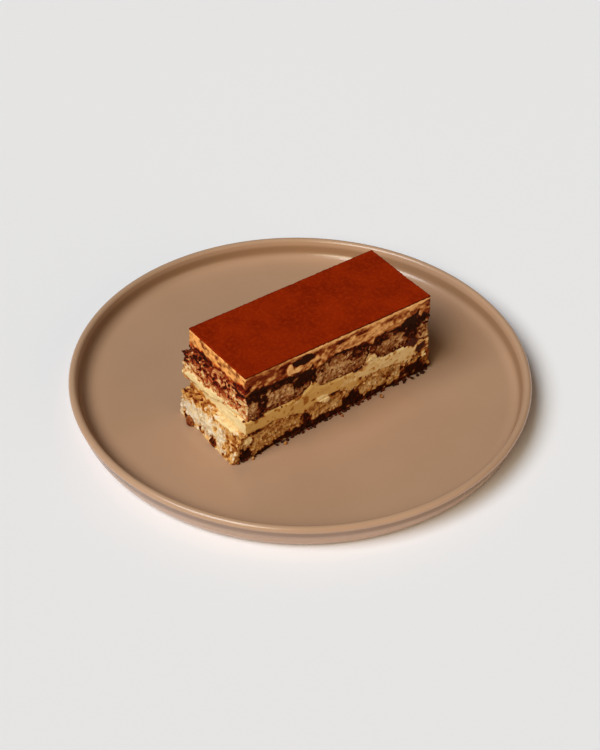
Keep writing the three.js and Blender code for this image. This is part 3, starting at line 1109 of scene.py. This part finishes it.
def cut_face_material(name, gloss):
    """Cream and sponge on one cut face."""
    material, tree, shader = new_material(name, 0.6, Specular_IOR_Level=gloss)
    place = object_place(tree)
    sponge, soak, torn, pore = (mark(tree, n) for n in ("sponge", "soak", "torn", "pore"))
    stain, high, upper, pressed = (mark(tree, n) for n in ("stain", "high", "upper", "pressed"))
    lump = mark(tree, "crumb", "Vector")
    fine = texture_noise(place, 0.8 * MM, 2) - 0.5
    sponge = ease(sponge + fine + 0.5 * (part_of(lump, "Z") - 0.5), 0.3, 0.7)
    mottle = ease(texture_noise(place, 2.5 * MM, 2), 0.35, 0.7)
    cream = cream_colour(high, pressed, stain + 0.5 * fine, mottle)
    low_end = (1 - upper) * (1 - pressed)
    pale = blend(low_end, PALE_CRUMB, WHITE_CRUMB)
    dry = blend(low_end, DRY_CRUMB, CREAMY_CRUMB)
    crumb = blend(ease(part_of(lump, "X") + fine, 0.1, 0.9), dry, pale)
    crumb = tinted(crumb, PORE_SHADE, ease(pore, 0.05, 0.9))
    wet = soak + sponge * torn * (part_of(lump, "Y") - 0.5) + (0.35 - 0.2 * low_end) * fine
    lower_tint = blend(pressed, HONEY_TINT, AMBER_TINT)
    first_tint = blend(upper, lower_tint, blend(pressed, RUSSET_TINT, DUN_TINT))
    second_tint = blend(upper * (1 - pressed), CARAMEL_TINT, RUST_TINT)
    colour = with_coffee(blend(sponge, cream, crumb), wet, first_tint, second_tint)
    feed(shader, "Base Color", colour)
    feed(shader, "Roughness", 0.55 + 0.3 * sponge)
    feed_bump(shader, fine, 0.3, 0.3 * MM)
    return material


# %% [markdown]
# ## The sponge fingers
# Each finger is the fine copy of its solid with the relief run on it, so it stands exactly where the
# solid does. The upper row took more coffee than the lower one.

# %% Make the fingers
SPONGE_VOXEL = 0.38 * MM
SPONGE = cut_face_material("soaked_sponge", 0.06)
for seed, node in enumerate(SOAKED):
    finger = fine_copy(node, node.replace("finger", "sponge"), SPONGE_VOXEL)
    run_tree(finger, CUT_FACE, material=SPONGE, seed=seed, **SPONGE_SIZES)
    finish_piece(finger, "sponge" if node.startswith("lower") else "soaked_sponge", node)

# %% [markdown]
# ## The creams
# The middle cream is smooth, pale and a little glossy. The knife dragged coffee and crumb through the top
# cream, which is pink-brown and streaked. Both are moulded to the fingers already, so only their cut
# faces are worked, and more gently than the sponge.

# %% Make the creams
CREAM_VOXEL = 0.45 * MM
SWELL = 0.5 * MM
FIRST_CREAM_SEED = 20
# The slot, the gloss, and the size and depth of the ripples.
CREAMS = {
    "middle_cream": ("cream", 0.15, 3 * MM, 0.35 * MM),
    "top_cream": ("stained_cream", 0.05, 2 * MM, 0.6 * MM),
}
for seed, (node, (slot, gloss, ripple_size, ripple_depth)) in enumerate(CREAMS.items(), FIRST_CREAM_SEED):
    layer = fine_copy(node, f"{node}_layer", CREAM_VOXEL)
    sizes = {**SPONGE_SIZES, "ripple_size": ripple_size, "ripple_depth": ripple_depth, "swell": SWELL}
    finish = cut_face_material(node, gloss)
    run_tree(layer, CUT_FACE, material=finish, seed=seed, **sizes)
    finish_piece(layer, slot, node)

# %% [markdown]
# ## The cocoa
# Cocoa sifted over the cream lies as a dry, even, deep red-brown skin with faint clouds where it fell
# thicker. Its cut face on the long sides is darkened as painted shade. Its grains are far finer than
# a pixel, so grain is bump, while the low drifts and the clumps that the sieve dropped are geometry.

# %% Mix the cocoa
COCOA = (0.2, 0.0105, 0.0002, 1)
THICK_COCOA = (0.285, 0.0175, 0.0005, 1)
COCOA_FLECK = (0.36, 0.028, 0.0012, 1)
# painted shade on the layer's cut face along the long sides
COCOA_SIDE_SHADE = (0.06, 0.006, 0.0006, 1)


def cocoa_finish():
    material, tree, shader = new_material("cocoa_powder", 0.95, Specular_IOR_Level=0.04)
    place = object_place(tree)
    drifts = ease(texture_noise(place, 14 * MM, 3), 0.3, 0.7)
    grain = texture_noise(place, 0.5 * MM, 2)
    flecks = ease(texture_noise(place, 1.8 * MM, 3), 0.45, 0.65)
    # painted shade: the cut face of the layer on the long sides
    painted_side_shade = mark(tree, "cut") * mark(tree, "pressed")
    colour = blend(drifts, COCOA, THICK_COCOA)
    colour = blend(0.4 * flecks + 0.25 * ease(grain, 0.5, 0.75), colour, COCOA_FLECK)
    feed(shader, "Base Color", blend(0.75 * painted_side_shade, colour, COCOA_SIDE_SHADE))
    feed_bump(shader, grain, 0.4, 0.15 * MM)
    return material


# %% Sift the cocoa
def cocoa_tree():
    tree, given = new_tree("cocoa_drifts", ["Drift Depth", "Edge Depth", "Clump Size", "Clump Density"])
    place = Wire.node(tree, "GeometryNodeInputPosition")
    up = ease(part_of(Wire.node(tree, "GeometryNodeInputNormal"), "Z"), 0.2, 0.8)
    cut = attribute(tree, "cut")
    drift = given.drift_depth * (2 * texture_noise(place, 5 * MM, 3, given.seed) - 1)
    edge = given.edge_depth * (2 * texture_noise(place, 2 * MM, 2, given.seed) - 1)
    geometry = pushed_out(given.geometry, up * drift + cut * edge)
    points = strewn_points(tree, geometry, given.clump_density * up, given.seed)
    clumps = scattered(tree, points, given.clump_size, given.seed)
    return close_tree(tree, joined(geometry, clumps), given.material)


COCOA_VOXEL = 0.5 * MM
cocoa = fine_copy("cocoa_dusting", "cocoa_top", COCOA_VOXEL)
cocoa_sizes = {"drift_depth": 0.12 * MM, "edge_depth": 0.4 * MM, "clump_size": 0.2 * MM}
cocoa_sizes["clump_density"] = 0.1 / MM**2
run_tree(cocoa, cocoa_tree(), material=cocoa_finish(), seed=4, **cocoa_sizes)
finish_piece(cocoa, "cocoa", "cocoa_dusting")

# %% [markdown]
# ## Loose crumbs on the plate
# Crumbs fell beside the foot of the slice, most of them soaked dark. Small ones are scattered on a narrow
# strip of the plate's floor, half of it under the edge of the foot: densely along the front, where they
# hide the foot's line, and thinly elsewhere. The strip is only a guide and isn't kept. Eleven larger crumbs
# are placed one by one, among them a pale lump at the left end and dark ones at two corners of the foot.

# %% List the larger crumbs
CRUMB_STRIP = 1.6 * MM
STRIP_SOAK = 0.8
ELSEWHERE = 0.04
# Shares of the foot's reach: where its front starts, and where its corners do.
FRONT_REACH = (0.7, 0.9)
CORNER_REACH = (0.94, 0.99)
# How high a large crumb's middle lies, in its own radii, and how high the strip lies.
CRUMB_RISE = 0.6
STRIP_RISE = 0.2 * MM
# Along and across the slice, the radius in millimetres, and how far the crumb is soaked.
LARGE_CRUMBS = [
    (-59.2, 13.6, 3, 0.55),
    (25.5, -23.2, 1.1, 0.5),
    (-50, -24, 0.9, 0.4),
    (-31.5, -24, 0.9, 0.45),
    (1.8, -23.5, 0.8, 0.5),
    (-57.6, -22.8, 1.2, 0.7),
    (-55, -22.6, 1.3, 0.9),
    (41, -20.9, 1, 0.9),
    (46, -20.9, 1.1, 0.9),
    (49.5, -20.8, 1.2, 0.9),
    (52.6, -20.4, 1.1, 0.9),
]
print(f"{len(LARGE_CRUMBS)} larger crumbs")


# %% Lay the crumb guide
def foot_outline():
    """The slice's outline where it stands on the plate."""
    points = np.concatenate([mesh_points(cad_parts[n].data) for n in SOAKED])
    low = points[points[:, 2] < PLATE_FLOOR + 1 * MM, :2]
    return low[convex_hull_2d([Vector(p) for p in low])]


def crumb_guide():
    """A strip of faces round the foot, and a loose point for each larger crumb, with its size."""
    inner = foot_outline()
    away = inner - inner.mean(0)
    outward = away / np.linalg.norm(away, axis=1)[:, None]
    inner = inner - 0.5 * CRUMB_STRIP * outward
    outer = inner + CRUMB_STRIP * outward
    large = np.array(LARGE_CRUMBS)
    count = len(inner)
    sizes = np.concatenate((np.zeros(2 * count), large[:, 2] * MM))
    soak = np.concatenate((np.full(2 * count, STRIP_SOAK), large[:, 3]))
    reach = away / np.abs(away).max(0)
    front = step(-reach[:, 1], *FRONT_REACH) * (1 - step(np.abs(reach[:, 0]), *CORNER_REACH))
    share = np.concatenate((ELSEWHERE + front, ELSEWHERE + front, np.zeros(len(large))))
    flat = np.concatenate((inner, outer, np.array(SLICE_CENTRE.xy) + large[:, :2] * MM))
    heights = PLATE_FLOOR + np.where(sizes > 0, CRUMB_RISE * sizes, STRIP_RISE)
    mesh = bpy.data.meshes.new("crumb_guide")
    ring = [(i, (i + 1) % count, count + (i + 1) % count, count + i) for i in range(count)]
    mesh.from_pydata(np.column_stack((flat, heights)).tolist(), [], ring)
    store(mesh, "size", sizes)
    store(mesh, "soak", soak)
    store(mesh, "share", share)
    return mesh


crumbs = new_object("plate_crumbs", crumb_guide())
print(f"crumb guide: {len(crumbs.data.polygons)} faces")


# %% Drop the crumbs
def crumb_tree():
    tree, given = new_tree("plate_crumbs", ["Crumb Size", "Crumb Density"])
    size = attribute(tree, "size")
    density = given.crumb_density * attribute(tree, "share")
    strewn = strewn_points(tree, given.geometry, density, given.seed)
    small = scattered(tree, strewn, given.crumb_size, given.seed)
    chosen = {"Mesh": given.geometry, "Selection": size.maths("GREATER_THAN", size, 0.0)}
    large = scattered(tree, Wire.node(tree, "GeometryNodeMeshToPoints", inputs=chosen), size, given.seed)
    return close_tree(tree, joined(small, large), given.material)


def crumb_finish():
    material, tree, shader = new_material("toasted_crumb", 0.85, Specular_IOR_Level=0.15)
    place = object_place(tree)
    fine = texture_noise(place, 1 * MM, 2)
    patchy = texture_noise(place, 4 * MM, 1) - 0.5
    wet = mark(tree, "soak") + 0.6 * patchy + 0.5 * (fine - 0.5)
    feed(shader, "Base Color", with_coffee(blend(fine, PALE_CRUMB, DRY_CRUMB), wet))
    return material


crumb_sizes = {"crumb_size": 0.9 * MM, "crumb_density": 0.5 / MM**2}
run_tree(crumbs, crumb_tree(), material=crumb_finish(), seed=11, **crumb_sizes)
finish_piece(crumbs, "sponge")
